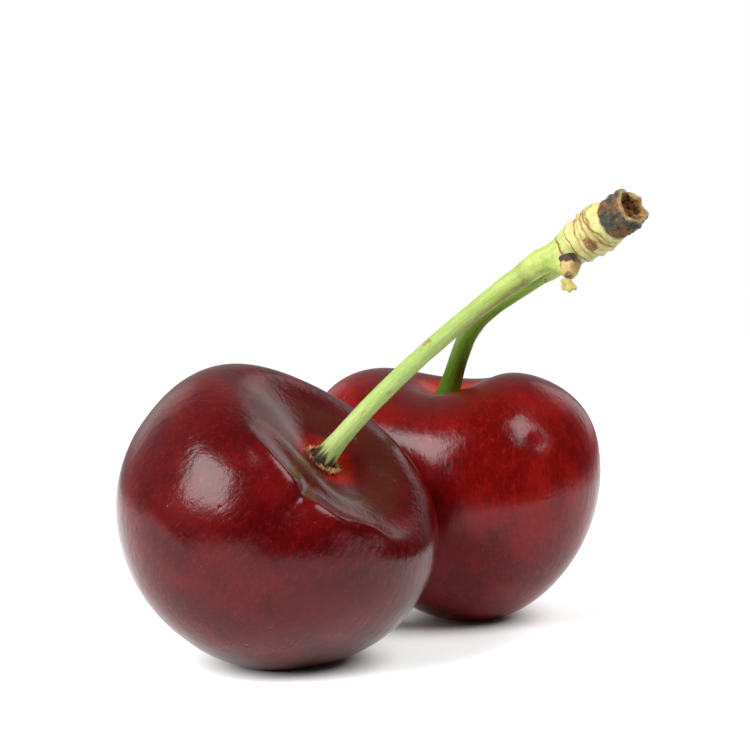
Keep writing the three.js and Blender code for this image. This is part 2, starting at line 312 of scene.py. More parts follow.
def smooth(value, start, end):
    share = np.clip((value - start) / (end - start), 0, 1)
    return share * share * (3 - 2 * share)


def turn_from(angle, other):
    """How far one angle is from another, in degrees, the short way round."""
    return np.abs((np.degrees(angle) - other + 180) % 360 - 180)


def skin_points(fruit, polar, azimuth):
    """Points of the skin in the fruit's own frame, in mm: z along the stalk."""
    out, up = np.sin(polar), np.cos(polar)
    power = fruit["squareness"]
    reach = (np.abs(out) ** power + np.abs(up) ** power) ** (-1 / power)
    height = reach * up
    width = reach * out * (1 - fruit["taper"] * np.maximum(0, -height) ** TAPER_POWER)
    x = width * np.cos(azimuth) * fruit["thick"] / 2
    y = width * np.sin(azimuth) * fruit["across"] / 2
    z = height * fruit["tall"] / 2
    radius = np.hypot(x, y)
    near_stalk = smooth(height, 0, PIT_FADE)
    over_suture = 0.5 + 0.5 * np.cos(2 * azimuth)
    rim = bell(radius - fruit["rim_radius"], RIM_WIDTH)
    pit = np.exp(-((radius / fruit["pit_radius"]) ** PIT_POWER))
    z = z - fruit["rim_dip"] * over_suture * rim * near_stalk
    z = z - fruit["pit_depth"] * pit * near_stalk
    for at, fold_radius, rise, spread, fold_width in fruit["folds"]:
        fold = bell(turn_from(azimuth, at), spread) * bell(radius - fold_radius, fold_width)
        z = z + rise * fold * near_stalk
    groove = GROOVE_DEPTH * bell(turn_from(azimuth, fruit["groove_at"]), GROOVE_WIDTH) * out**1.5
    x = x - groove * np.cos(azimuth)
    y = y - groove * np.sin(azimuth)
    facing = np.stack([out * np.cos(azimuth), out * np.sin(azimuth), up], -1)
    points = np.stack([x, y, z], -1)
    for polar_at, azimuth_at, rise, spread in fruit["swellings"]:
        tilt, around = math.radians(polar_at), math.radians(azimuth_at)
        middle = (
            math.sin(tilt) * math.cos(around),
            math.sin(tilt) * math.sin(around),
            math.cos(tilt),
        )
        away = np.degrees(np.arccos(np.clip(facing @ np.array(middle), -1, 1)))
        points = points + facing * (rise * bell(away, spread))[..., None]
    return points


# %% [markdown]
# Each fruit leans and turns in its own way, so its own frame is turned as a whole. The result is
# then slid until its box has the same middle as the CAD solid's. Soft flesh gives where the fruit
# rests, so whatever would sink into the floor is pressed flat on it.


# %% Standing a fruit where the CAD solid is
def fruit_axes(fruit):
    tilt, heading = math.radians(fruit["lean"]), math.radians(fruit["heading"])
    flat = np.array([math.cos(heading), math.sin(heading), 0])
    up = np.array([0, 0, 1.0])
    axis = up * math.cos(tilt) + flat * math.sin(tilt)
    downhill = flat * math.cos(tilt) - up * math.sin(tilt)
    turn = math.radians(fruit["turn"])
    suture = downhill * math.cos(turn) + np.cross(axis, downhill) * math.sin(turn)
    return np.stack([suture, np.cross(axis, suture), axis])


def closed_rings(first, rings, last):
    """Points and faces of a closed skin: a pole, rings with the same number of points, a pole."""
    count, sides = rings.shape[:2]
    points = np.concatenate([[first], rings.reshape(-1, 3), [last]])
    here = np.arange(sides)
    after = (here + 1) % sides
    faces = [(0, 1 + a, 1 + b) for a, b in zip(here, after)]
    for ring in range(count - 1):
        near, far = 1 + ring * sides, 1 + (ring + 1) * sides
        faces += [(near + a, far + a, far + b, near + b) for a, b in zip(here, after)]
    end = len(points) - 1
    start = 1 + (count - 1) * sides
    faces += [(end, start + b, start + a) for a, b in zip(here, after)]
    return points, faces


def grid_round(steps, sectors):
    """Two grids over a skin: the given steps from ring to ring, and the angle round each."""
    return np.meshgrid(steps, np.arange(sectors) / sectors * 2 * np.pi, indexing="ij")


def make_mesh(name, points, faces, outward=False):
    """An object at the origin from points in metres. outward turns every face outwards."""
    mesh = bpy.data.meshes.new(name)
    mesh.from_pydata(points.tolist(), [], faces)
    if outward:
        shell = bmesh.new()
        shell.from_mesh(mesh)
        bmesh.ops.remove_doubles(shell, verts=shell.verts, dist=1e-7)
        bmesh.ops.recalc_face_normals(shell, faces=shell.faces)
        shell.to_mesh(mesh)
        shell.free()
    mesh.shade_smooth()
    return add_object(name, mesh)


ROWS, SECTORS = 300, 320
ROW_CROWDING = 0.09
FLOOR_BLEND = 0.12  # mm over which the pressed flat turns into the curve
PRESSED_BELOW = 3  # mm above the floor, past which nothing is pressed


def make_skin(name, first, rings, last):
    """A closed piece from a pole, rings and a pole in mm, with every face outwards."""
    points, faces = closed_rings(first, rings, last)
    print(name, "has", len(faces), "faces")
    return make_mesh(name, points * MM, faces, outward=True)


def make_fruit(name, fruit, node):
    share = np.arange(1, ROWS) / ROWS
    polar = np.pi * (share - ROW_CROWDING * np.sin(2 * np.pi * share))
    polar, azimuth = grid_round(polar, SECTORS)
    rings = skin_points(fruit, polar, azimuth)
    poles = skin_points(fruit, np.array([0, np.pi]), np.zeros(2))
    own, faces = closed_rings(poles[0], rings, poles[1])
    points = own @ fruit_axes(fruit)
    node_low, node_high = (np.array(corner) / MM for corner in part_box(node))
    points += (node_low + node_high) / 2 - (points.min(0) + points.max(0)) / 2
    points[:, 2] += node_high[2] - points[:, 2].max()
    above = points[:, 2]
    pressed = FLOOR_BLEND * np.logaddexp(0, above / FLOOR_BLEND)
    points[:, 2] = np.where(above > PRESSED_BELOW, above, pressed)
    made = make_mesh(name, points * MM, faces)
    place = made.data.attributes.new("own_place", "FLOAT_VECTOR", "POINT")
    place.data.foreach_set("vector", own.ravel())
    print(name, "box, mm:", (points.max(0) - points.min(0)).round(2))
    return made


large_skin = make_fruit("large_cherry_skin", LARGE_FRUIT, "large_cherry")
small_skin = make_fruit("small_cherry_skin", SMALL_FRUIT, "small_cherry")

# %% [markdown]
# Cherry skin is a thin glossy wax over dark flesh. Its colour is never even: fine lighter flecks
# run from stalk to tip, darker blotches lie between them, the hollow round the stalk is a brighter
# red, and the rim is duller and browner. All of it is read from the fruit's own frame, so the
# flecks follow the fruit however it leans.


# %% Fruit skin
WAX_MIRROR = 0.23  # a thin wax mirrors less than clear varnish would
ALMOST_BLACK = (0.012, 0.0015, 0.0015)


def cherry_finish(
    name,
    deep,
    lively,
    fleck_colour,
    rim_colour,
    cavity_colour,
    rim_radius,
    rim_spread,
    mottling,
    blotting,
):
    finish = Finish(name)
    own = finish.attribute("own_place", output=1)
    lengthwise = finish.stretched(own, (1, 1, 0.42))
    flecks = finish.noise(lengthwise, 2.6, detail=5, roughness=0.7)
    fine = finish.noise(lengthwise, 6.5, detail=3, roughness=0.6)
    clouds = finish.noise(own, 0.22, detail=4, roughness=0.6)
    blots = finish.noise(own, 0.55, detail=5, roughness=0.62, distortion=0.4)
    colour = finish.blend(deep, lively, clouds.step(0.35, 0.7))
    fleck = flecks.step(0.5, 0.7) * 0.8 + fine.step(0.52, 0.72) * 0.5
    dark = blots.step(0.55, 0.75) * fine.step(0.35, 0.6)
    colour = finish.blend(colour, ALMOST_BLACK, dark * blotting)

    across, along, height = finish.split(own)
    radius = (across * across + along * along) ** 0.5
    upper = height.step(2.0, 5.0)
    away = (radius - rim_radius) / rim_spread
    rim = (1 - away.math("ABSOLUTE", away).clamped()).step(0.0, 0.9) * upper
    colour = finish.blend(colour, fleck_colour, (fleck * mottling * (1 - rim * 0.7)).clamped())
    colour = finish.blend(colour, rim_colour, rim * (clouds * 0.9 + 0.25))
    cavity = (1 - (radius + blots * 1.6).step(2.4, 4.6)) * upper
    colour = finish.blend(colour, cavity_colour, cavity * 0.9)

    peel = finish.noise(lengthwise, 1.3, detail=4, roughness=0.55)
    grain = finish.noise(finish.stretched(own, (1, 1, 0.6)), 4.5, detail=3, roughness=0.6)
    pores = finish.cells(own, 0.55)
    pitted = (1 - pores.step(0.0, 0.16)) * clouds.step(0.5, 0.62)
    relief = peel * 0.05 + grain * 0.014 - pitted * 0.05
    rough = 0.13 + clouds * 0.08 + fine * 0.06
    finish.fixed("IOR", 1.45)
    finish.fixed("Specular IOR Level", WAX_MIRROR)
    return finish.set(Base_Color=colour, Roughness=rough, Normal=finish.bumped(relief))


# %% [markdown]
# The front fruit is riper, so its red is deeper and its flecks are fainter. The rear one is
# brighter, with more dark blots and a wider dull rim.

# %% Both skins
large_skin.data.materials.append(
    cherry_finish(
        "large_cherry_skin",
        deep=(0.035, 0.0006, 0.0007),
        lively=(0.068, 0.0012, 0.0013),
        fleck_colour=(0.108, 0.0035, 0.0035),
        rim_colour=(0.044, 0.009, 0.0035),
        cavity_colour=(0.24, 0.008, 0.003),
        rim_radius=5.6,
        rim_spread=2.8,
        mottling=0.7,
        blotting=0.35,
    )
)
small_skin.data.materials.append(
    cherry_finish(
        "small_cherry_skin",
        deep=(0.070, 0.0010, 0.0010),
        lively=(0.135, 0.0024, 0.0022),
        fleck_colour=(0.20, 0.006, 0.005),
        rim_colour=(0.046, 0.006, 0.0038),
        cavity_colour=(0.34, 0.022, 0.007),
        rim_radius=5.6,
        rim_spread=4.2,
        mottling=0.62,
        blotting=0.7,
    )
)
for piece, node in ((large_skin, "large_cherry"), (small_skin, "small_cherry")):
    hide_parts(node)
    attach(piece, "root")

# %% [markdown]
# Stalks and the collar are grown by Geometry Nodes. A Growth is such a tree with named inputs. It
# shapes an object through a modifier, and then keeps the result as a plain mesh, since the
# export needs meshes that no longer change.


# %% Trees that grow a piece
class Growth(Graph):
    """A Geometry Nodes tree with named inputs, and the object that it shapes."""

    def __init__(self, name, **sizes):
        self.tree = bpy.data.node_groups.new(name, "GeometryNodeTree")
        for way in ("INPUT", "OUTPUT"):
            kind = "NodeSocketGeometry"
            self.tree.interface.new_socket("Geometry", in_out=way, socket_type=kind)
        self.sockets = {}
        for size, value in sizes.items():
            whole = isinstance(value, int)
            kind = "NodeSocketInt" if whole else "NodeSocketFloat"
            made = self.tree.interface.new_socket(size, in_out="INPUT", socket_type=kind)
            made.default_value = value
            self.sockets[size] = made.identifier
        self.entry = self.tree.nodes.new("NodeGroupInput")
        self.geometry = Field(self, self.entry.outputs[0])
        self.sizes = {size: Field(self, self.entry.outputs[size]) for size in sizes}

    def remember(self, geometry, name, value, kind="FLOAT"):
        settings = {"data_type": kind, "domain": "POINT"}
        inputs = {"Geometry": geometry, "Name": name, "Value": value}
        return self.node("GeometryNodeStoreNamedAttribute", settings, inputs)

    def recall(self, name):
        return self.node("GeometryNodeInputNamedAttribute", {"data_type": "FLOAT"}, {"Name": name})

    def moved(self, geometry, offset):
        return self.node("GeometryNodeSetPosition", {}, {"Geometry": geometry, "Offset": offset})

    def end(self, geometry, material):
        plain = self.node("GeometryNodeRealizeInstances", {}, {"Geometry": geometry})
        inputs = {"Geometry": plain, "Material": material}
        painted = self.node("GeometryNodeSetMaterial", {}, inputs)
        self.node("NodeGroupOutput", {}, {0: painted}, None)

    def grow(self, name, source, **sizes):
        """Shapes the source object, and keeps the result as a plain mesh at the origin."""
        modifier = source.modifiers.new(name, "NODES")
        modifier.node_group = self.tree
        for size, value in sizes.items():
            modifier[self.sockets[size]] = value
        bpy.context.view_layer.update()
        evaluated = source.evaluated_get(bpy.context.evaluated_depsgraph_get())
        mesh = bpy.data.meshes.new_from_object(evaluated)
        mesh.name = name
        source.modifiers.clear()
        bpy.data.objects.remove(source)
        mesh.shade_smooth()
        print(name, "has", len(mesh.polygons), "faces")
        return add_object(name, mesh)


# %% [markdown]
# A stalk is a tube along a curve: flared at its foot, thinner in the middle, thicker again where
# it joins the spur, and faintly fluted lengthwise. A chain of cylinders would show its joints, so
# a Geometry Nodes tree sweeps a circle along the curve, sets the radius from how far along it is,
# and pushes the skin in and out. The same tree makes both stalks from different sizes.

# %% A tree that grows a stalk
STALK_STEPS, STALK_SIDES = 260, 56
SKIN_PLACE_RADIUS = 1.1  # mm, for the place that the finish reads


def stalk_tree(material):
    tree = Growth(
        "stalk",
        Foot=1.3,
        Middle=1.1,
        Neck=1.25,
        Foot_Flare=0.06,
        Neck_Flare=0.2,
        Flutes=0.03,
        Lumps=0.06,
        Seed=1,
    )
    sizes = tree.sizes
    curve = tree.node("GeometryNodeMeshToCurve", {}, {"Mesh": tree.geometry})
    inputs = {"Curve": curve, "Count": STALK_STEPS}
    curve = tree.node("GeometryNodeResampleCurve", {"mode": "COUNT"}, inputs)
    share = tree.node("GeometryNodeSplineParameter")
    length = tree.node("GeometryNodeSplineParameter", output=1)
    curve = tree.remember(curve, "share", share)
    curve = tree.remember(curve, "length", length / MM)
    foot, neck = (
        share.math("EXPONENT", (way / flare) ** 2 * -1)
        for way, flare in ((share, sizes["Foot_Flare"]), (1 - share, sizes["Neck_Flare"]))
    )
    radius = sizes["Middle"] + (sizes["Foot"] - sizes["Middle"]) * foot
    radius = radius + (sizes["Neck"] - sizes["Middle"]) * neck
    inputs = {"Resolution": STALK_SIDES, "Radius": 1.0}
    ring = tree.node("GeometryNodeCurvePrimitiveCircle", {"mode": "RADIUS"}, inputs)
    ring = tree.remember(ring, "round", tree.node("GeometryNodeSplineParameter"))
    inputs = {"Curve": curve, "Profile Curve": ring, "Scale": radius * MM, "Fill Caps": True}
    tube = tree.node("GeometryNodeCurveToMesh", {}, inputs)
    angle = tree.recall("round") * (2 * math.pi)
    along = tree.recall("length")
    inputs = {
        "X": angle.math("COSINE", angle) * SKIN_PLACE_RADIUS,
        "Y": angle.math("SINE", angle) * SKIN_PLACE_RADIUS,
        "Z": along,
    }
    own = tree.node("ShaderNodeCombineXYZ", {}, inputs)
    tube = tree.remember(tube, "own_place", own, "FLOAT_VECTOR")
    seeded = tree.node("ShaderNodeVectorMath", {"operation": "ADD"}, {0: own, 1: sizes["Seed"]})
    inputs = {0: seeded, 1: (1, 1, 0.12)}
    drawn_out = tree.node("ShaderNodeVectorMath", {"operation": "MULTIPLY"}, inputs)
    fluting = tree.noise(drawn_out, 1.3, detail=2) - 0.5
    lumps = tree.noise(seeded, 0.35, detail=2) - 0.5
    push = (fluting * sizes["Flutes"] * 2 + lumps * sizes["Lumps"] * 2) * MM
    normal = tree.node("GeometryNodeInputNormal")
    inputs = {0: normal, "Scale": push}
    offset = tree.node("ShaderNodeVectorMath", {"operation": "SCALE"}, inputs)
    tree.end(tree.moved(tube, offset), material)
    return tree


# %% [markdown]
# A fresh stalk is pale green, streaked lengthwise, with a few brown freckles. It darkens to brown
# in ragged streaks where it was pulled about at its foot, and one long brown bruise runs under the
# neck of the front stalk.


# %% Stalk finish
FRECKLE_BROWN = (0.17, 0.12, 0.03)
FOOT_BROWN = (0.035, 0.018, 0.008)
BRUISE_BROWN = (0.16, 0.105, 0.02)


def stalk_finish(name, foot_colour, middle_colour, neck_colour, dark_foot, freckles):
    finish = Finish(name)
    own = finish.attribute("own_place", output=1)
    share = finish.attribute("share")
    along = finish.split(own)[2]
    lengthwise = finish.stretched(own, (1, 1, 0.16))
    streaks = finish.noise(lengthwise, 3.6, detail=5, roughness=0.68)
    speckle = finish.noise(finish.stretched(own, (1, 1, 0.6)), 4.6, detail=4, roughness=0.7)
    colour = finish.blend(foot_colour, middle_colour, share.step(0.02, 0.5))
    colour = finish.blend(colour, neck_colour, share.step(0.6, 0.98))
    pale = finish.blend(colour, (1, 1, 0.8), 0.1, way="SOFT_LIGHT")
    deeper = finish.blend(colour, (0.5, 0.66, 0.4), 0.5, way="MULTIPLY")
    colour = finish.blend(deeper, pale, streaks.step(0.3, 0.66))
    colour = finish.blend(colour, deeper, speckle.step(0.48, 0.66) * 0.7)
    colour = finish.blend(colour, pale, (1 - speckle.step(0.32, 0.46)) * 0.6)
    spots = finish.noise(finish.stretched(own, (1, 1, 0.45)), 0.85, detail=5, roughness=0.75)
    spotted = spots.step(0.585, 0.64) * freckles
    colour = finish.blend(colour, FRECKLE_BROWN, spotted)
    teeth = finish.noise(finish.stretched(own, (1.6, 1.6, 0.05)), 1.9, detail=3, roughness=0.7)
    reach = along - teeth * 3.6
    foot = (1 - reach.step(-0.2, 0.45)) * dark_foot
    colour = finish.blend(colour, FOOT_BROWN, foot)
    under = finish.attribute("under")
    bruise = under.step(0.45, 0.85) * share.step(0.5, 0.7) * streaks.step(0.36, 0.52)
    colour = finish.blend(colour, BRUISE_BROWN, bruise * dark_foot * 0.85)
    ridges = finish.noise(lengthwise, 2.2, detail=4, roughness=0.6)
    relief = ridges * 0.07 + speckle * 0.015
    finish.fixed("Specular IOR Level", 0.3)
    return finish.set(
        Base_Color=colour,
        Roughness=0.42 + speckle * 0.15,
        Normal=finish.bumped(relief),
    )


pale_stalk = stalk_finish(
    "pale_green_stalk",
    foot_colour=(0.255, 0.315, 0.095),
    middle_colour=(0.235, 0.31, 0.085),
    neck_colour=(0.27, 0.335, 0.07),
    dark_foot=1.0,
    freckles=0.85,
)
# The rear stalk is darker green towards its foot: partly its own deeper green, partly painted
# shade where its lower part lies in shadow.
dark_and_shaded_stalk = stalk_finish(
    "dark_green_stalk",
    foot_colour=(0.040, 0.088, 0.003),
    middle_colour=(0.095, 0.17, 0.014),
    neck_colour=(0.22, 0.31, 0.055),
    dark_foot=0.0,
    freckles=0.3,
)

# %% [markdown]
# Each stalk's curve is set by four points, as in the CAD: its foot, its end at the spur, and two
# that steer it. It is drawn on a little way into the flesh and into the spur, so no gap shows.


# %% Growing both stalks
CURVE_POINTS = 90


def along_curve(*four, into_fruit, into_spur):
    foot, steer_foot, steer_head, head = (np.array(point) for point in four)
    share = np.linspace(0, 1, CURVE_POINTS)[:, None]
    rest = 1 - share
    points = rest**3 * foot + 3 * rest**2 * share * steer_foot
    points = points + 3 * rest * share**2 * steer_head + share**3 * head
    inward = (foot - steer_foot) / np.linalg.norm(foot - steer_foot)
    onward = (head - steer_head) / np.linalg.norm(head - steer_head)
    return np.concatenate([[foot + inward * into_fruit], points, [head + onward * into_spur]])


def make_stalk(name, node, tree, curve, **sizes):
    path = bpy.data.meshes.new(name + "_path")
    edges = [(i, i + 1) for i in range(len(curve) - 1)]
    path.from_pydata((curve * MM).tolist(), edges, [])
    made = tree.grow(name, add_object(name + "_path", path), **sizes)
    normals = np.zeros(len(made.data.vertices) * 3)
    made.data.vertex_normals.foreach_get("vector", normals)
    underside = np.array(seen_from(0.45, -0.87, 0.2))
    under = made.data.attributes.new("under", "FLOAT", "POINT")
    under.data.foreach_set("value", normals.reshape(-1, 3) @ underside)
    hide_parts(node)
    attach(made, "root")
    return made


LARGE_CURVE = along_curve(
    (-10.796, 1.815, 18.065),
    (-9.513, -3.831, 25.215),
    (5.017, -2.626, 30.383),
    (4.689, -9.673, 34.562),
    into_fruit=1.1,
    into_spur=0.5,
)
SMALL_CURVE = along_curve(
    (13.864, 7.398, 21.377),
    (11.718, 3.313, 28.516),
    (7.437, 0.021, 28.560),
    (6.977, -9.863, 34.422),
    into_fruit=2.0,
    into_spur=0.5,
)
large_stalk = make_stalk(
    "large_stalk",
    "large_cherry_stalk",
    stalk_tree(pale_stalk),
    LARGE_CURVE,
    Foot=1.08,
    Foot_Flare=0.1,
    Middle=0.78,
    Neck=0.98,
)
small_stalk = make_stalk(
    "small_stalk",
    "small_cherry_stalk",
    stalk_tree(dark_and_shaded_stalk),
    SMALL_CURVE,
    Foot=1.12,
    Foot_Flare=0.1,
    Middle=0.84,
    Neck=0.98,
    Seed=7,
)

# %% [markdown]
# The spur is the short shoot that both stalks grow from. Every year's bud scales left a ring scar
# round it, and each ring laps over the one below like a sleeve. It is drawn as one closed skin of
# many rings, whose radius steps out at each scar; the scars wander and break as real ones do. It
# reaches back over the two stalks in a thin web, so that they part as from one stem.

# %% Directions and random waves of the spur
SPUR_BASE = np.array((5.821, -10.026, 34.645))
SPUR_ALONG = np.array((-0.03997, -0.85944, 0.50967))
SPUR_STACK = np.array((-0.99473, 0.08242, 0.06097))
SPUR_SIDE = np.cross(SPUR_ALONG, SPUR_STACK)
SPUR_END = 8.0
WEB = 3.6  # mm that the spur's skin reaches back over the two stalks
STALK_END = -0.3  # where the stalks' own curves end, measured along the spur


def wander(angle, seed, strength, turns=(1, 2, 3, 5, 8, 13)):
    """A smooth random wave round a ring, the same for the same seed."""
    draw = np.random.default_rng(seed)
    total = np.zeros_like(angle)
    for count in turns:
        phase, size = draw.uniform(0, 2 * np.pi), draw.normal() / count**0.75
        total = total + size * np.sin(count * angle + phase)
    return strength * total


WAVES = 9  # in each octave


def value_noise(points, scale, seed, octaves=4):
    """Smooth random lumps through space, for bark and torn edges."""
    draw = np.random.default_rng(seed)
    flat = points.reshape(-1, 3)
    total = np.zeros(len(flat))
    for octave in range(octaves):
        for _ in range(WAVES):
            direction = draw.normal(size=3)
            direction *= 2**octave * 2.5 / scale / np.linalg.norm(direction)
            phase = draw.uniform(0, 2 * np.pi)
            total += np.sin(flat @ direction + phase) * 0.6**octave
    return (total / WAVES**0.5).reshape(points.shape[:-1])


def set_out(origin, *ways):
    """Points in space from an origin and pairs: how far, over a grid, and in what direction."""
    return origin + sum(far[..., None] * np.array(way) for far, way in ways)


print("spur length, mm:", SPUR_END + WEB)

# %% [markdown]
# Across the spur, its section is a soft union of two discs: one round each stalk at the base, both
# sliding together into one round shoot. For every direction round the middle, the distance to the
# union's edge is found by halving an interval over and over. S and A are grids over the spur's
# skin: the distance along it in mm, and the angle round it.

# %% The section where two stalks become one
SPUR_ROWS, SPUR_SECTORS = 420, 200
SOFTNESS = 1.1  # mm over which the two discs melt together
SHOOT_RADIUS = 1.34
NECK_RADIUS = 1.0
WIDEST = 4.0  # mm, a distance that is outside the spur in every direction
HALVINGS = 26


def stalk_track(curve, distance):
    """Where a stalk's middle is across the spur, at each distance along the spur."""
    rise = (curve - SPUR_BASE) @ SPUR_ALONG
    order = np.argsort(rise)
    near = [(curve - SPUR_BASE) @ way for way in (SPUR_STACK, SPUR_SIDE)]
    return [np.interp(np.minimum(distance, STALK_END), rise[order], n[order]) for n in near]


along_spur = np.linspace(-WEB, SPUR_END, SPUR_ROWS)
S, A = grid_round(along_spur, SPUR_SECTORS)
merging = 1 - smooth(along_spur, -0.5, 3.2)
tracks = [np.array(stalk_track(c, along_spur)) * merging for c in (LARGE_CURVE, SMALL_CURVE)]
middle = (tracks[0] + tracks[1]) / 2
showing = -0.14 + 0.2 * smooth(along_spur, -WEB, -1.4)  # starts inside the stalks, comes out
disc = NECK_RADIUS + showing + (SHOOT_RADIUS - NECK_RADIUS) * (1 - merging)
least, most = np.zeros_like(S), np.full_like(S, WIDEST)
for _ in range(HALVINGS):
    guess = (least + most) / 2
    x, y = middle[0][:, None] + guess * np.cos(A), middle[1][:, None] + guess * np.sin(A)
    near = [np.hypot(x - t[0][:, None], y - t[1][:, None]) - disc[:, None] for t in tracks]
    overlap = np.maximum(SOFTNESS - np.abs(near[0] - near[1]), 0) / SOFTNESS
    depth = np.minimum(near[0], near[1]) - overlap**2 * SOFTNESS / 4
    least = np.where(depth < 0, guess, least)
    most = np.where(depth < 0, most, guess)
section = np.maximum(guess, 0.05)
print("spur section, mm:", section.min().round(2), "to", section.max().round(2))

# %% [markdown]
# Each scar has a place along the spur, a slant and a height of step. The skin steps out at its
# edge and sinks back slowly behind it, and the edge is remembered for the thin brown line, which
# is partly the scar's own brown and partly painted shadow under the step.

# %% The ringed spur
SCARS = [  # place along the spur, slant, step, seed
    (2.5, 0.25, 0.04, 11),
    (3.7, 0.20, 0.30, 12),
    (4.5, 0.30, 0.08, 13),
    (5.2, 0.20, 0.32, 14),
    (6.1, 0.20, 0.28, 16),
    (6.55, 0.25, 0.10, 17),
    (7.05, 0.15, 0.22, 18),
]
SCAR_SHARPNESS = 0.03
bud_way = np.array((-0.68431, -0.34813, -0.64072))


def angle_of(direction):
    """Where a direction lies round the spur."""
    return math.atan2(np.array(direction) @ SPUR_SIDE, np.array(direction) @ SPUR_STACK)


def apart(angle, other):
    return np.angle(np.exp(1j * (angle - other)))


bud_angle, camera_angle = angle_of(bud_way), angle_of(toward)
top_angle = angle_of(seen_from(-0.5, 0.85, 0.15))
lift, scar = np.zeros_like(S), np.zeros_like(S)
for place, slant, step, seed in SCARS:
    edge = place + slant * np.cos(A - camera_angle - 0.7) + wander(A, seed, 0.14)
    edge = edge + wander(A, seed + 90, 0.045, turns=(11, 17, 23, 31))
    behind = S - edge
    sharp = smooth(behind, -SCAR_SHARPNESS, SCAR_SHARPNESS)
    lift += step * sharp * (0.2 + 0.8 * np.exp(-np.maximum(behind, 0) / 0.8))
    lift -= 0.35 * step * bell(behind + 0.1, 0.09)
    strength = 0.45 + 0.55 * smooth(wander(A, seed + 50, 0.6), -0.4, 0.4)
    scar = np.maximum(scar, bell(behind + 0.01, 0.13) * strength)
print("scars:", len(SCARS))

# %% [markdown]
# The skin also has small lumps all over, a sharp shoulder on top where it starts, a cushion under
# the bud and a low knot beside the stain. Each is a bell-shaped rise at one place. Near both ends
# the skin sinks, so that it leaves the stalks softly and runs in under the bark.

# %% Skin of the spur
SHOULDER_AT, CUSHION_AT, KNOT_AT = -0.9, 2.0, 5.9  # mm along the spur
SHOULDER_TALL, CUSHION_TALL, KNOT_TALL = 0.24, 1.2, 0.3
lift -= 0.3 * smooth(S, 6.2, 7.8)
solid = np.stack([S * 1.4, np.cos(A) * 1.7, np.sin(A) * 1.7], -1)
lift += 0.035 * value_noise(solid, 1.1, 5)
past = S - SHOULDER_AT
shoulder = np.where(past < 0, bell(past, 0.35), bell(past, 1.1))
lift += SHOULDER_TALL * shoulder * bell(apart(A, top_angle), 0.5)
lift += CUSHION_TALL * bell(S - CUSHION_AT, 1.0) * bell(apart(A, bud_angle + 0.05), 0.55)
lift += KNOT_TALL * bell(S - KNOT_AT, 0.6) * bell(apart(A, bud_angle - 0.25), 0.35)
lift *= smooth(S, -2.6, -1.2)
shrink = 1 - 0.3 * smooth(S, SPUR_END - 0.25, SPUR_END)
x = (middle[0][:, None] + (section + lift) * np.cos(A)) * shrink
y = (middle[1][:, None] + (section + lift) * np.sin(A)) * shrink
rings = set_out(SPUR_BASE, (x, SPUR_STACK), (y, SPUR_SIDE), (S, SPUR_ALONG))
spur = make_skin("spur_shoot", rings[0].mean(0), rings, SPUR_BASE + SPUR_ALONG * SPUR_END)


def remember(piece, name, values, ends=(0.0, 0.0)):
    """Stores one number for every point of a piece, for its finish to read."""
    made = piece.data.attributes.new(name, "FLOAT", "POINT")
    made.data.foreach_set("value", np.concatenate([[ends[0]], values.ravel(), [ends[1]]]))


def remember_place(piece, places, ends):
    made = piece.data.attributes.new("own_place", "FLOAT_VECTOR", "POINT")
    values = np.concatenate([[ends[0]], places.reshape(-1, 3), [ends[1]]])
    made.data.foreach_set("vector", values.ravel())


remember(spur, "scar", scar)
patch = bell(S - KNOT_AT, 0.75) * bell(apart(A, bud_angle - 0.25), 0.42)
remember(spur, "patch", patch)
remember_place(spur, np.stack([x, y, S], -1), ((0, 0, -WEB), (0, 0, SPUR_END)))

# %% [markdown]
# The young wood goes from the stalks' green to a pale straw yellow at the bark. The scar edges are
# thin, brown and broken, with a browner band round them; both are partly the scars' own brown and
# partly painted shadow under each step. A few stains of the same brown lie behind them. Where the
# skin reaches back over the stalks it fades to clear, so that no edge shows.

# %% Spur finish
CLEAR_TO_SOLID = (-2.7, -0.9)  # mm along the spur
# Brown of the scar lines: partly their own colour, partly painted shadow under each step.
SCAR_BROWN_AND_SHADOW = (0.16, 0.075, 0.018)
finish = Finish("pale_spur")
own = finish.attribute("own_place", output=1)
scar_line = finish.attribute("scar")
along = finish.split(own)[2]
streaks = finish.noise(finish.stretched(own, (1, 1, 0.14)), 2.6, detail=5, roughness=0.65)
mottle = finish.noise(own, 1.1, detail=5, roughness=0.65)
fine = finish.noise(own, 5.0, detail=4, roughness=0.65)
green = finish.blend((0.23, 0.31, 0.05), (0.33, 0.38, 0.09), streaks.step(0.36, 0.62))
straw = finish.blend((0.35, 0.30, 0.085), (0.43, 0.42, 0.17), mottle.step(0.35, 0.62))
ripe = (along + mottle * 2.4 - 1.2).step(1.2, 5.0)
colour = finish.blend(green, straw, ripe)
stain = (mottle.step(0.54, 0.64) * along.step(3.6, 5.4) * 0.5).clamped()
patch = finish.attribute("patch") + (fine - 0.5) * 0.9
browned = finish.blend((0.10, 0.042, 0.008), (0.27, 0.13, 0.025), fine.step(0.4, 0.6))
colour = finish.blend(colour, browned, (stain + patch.step(0.35, 0.6)).clamped())
edge = (scar_line * (fine + 0.65)).clamped()
# Painted shadow: a darker, browner band round each scar line, partly the scar's own brown.
scar_band_and_shadow = finish.blend(colour, (0.8, 0.55, 0.25), 0.8, way="MULTIPLY")
colour = finish.blend(colour, scar_band_and_shadow, scar_line.step(0.02, 0.4))
# The thin brown scar line: partly its own brown, partly painted shadow under the step.
colour = finish.blend(colour, SCAR_BROWN_AND_SHADOW, edge.step(0.3, 0.75))
relief = streaks * 0.06 + fine * 0.03
spur.data.materials.append(
    finish.set(
        Base_Color=colour,
        Roughness=0.5 + mottle * 0.15,
        Alpha=(along + mottle * 1.6 - 0.8).step(*CLEAR_TO_SOLID),
        Normal=finish.bumped(relief),
    )
)
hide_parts("spur")
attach(spur, "root")

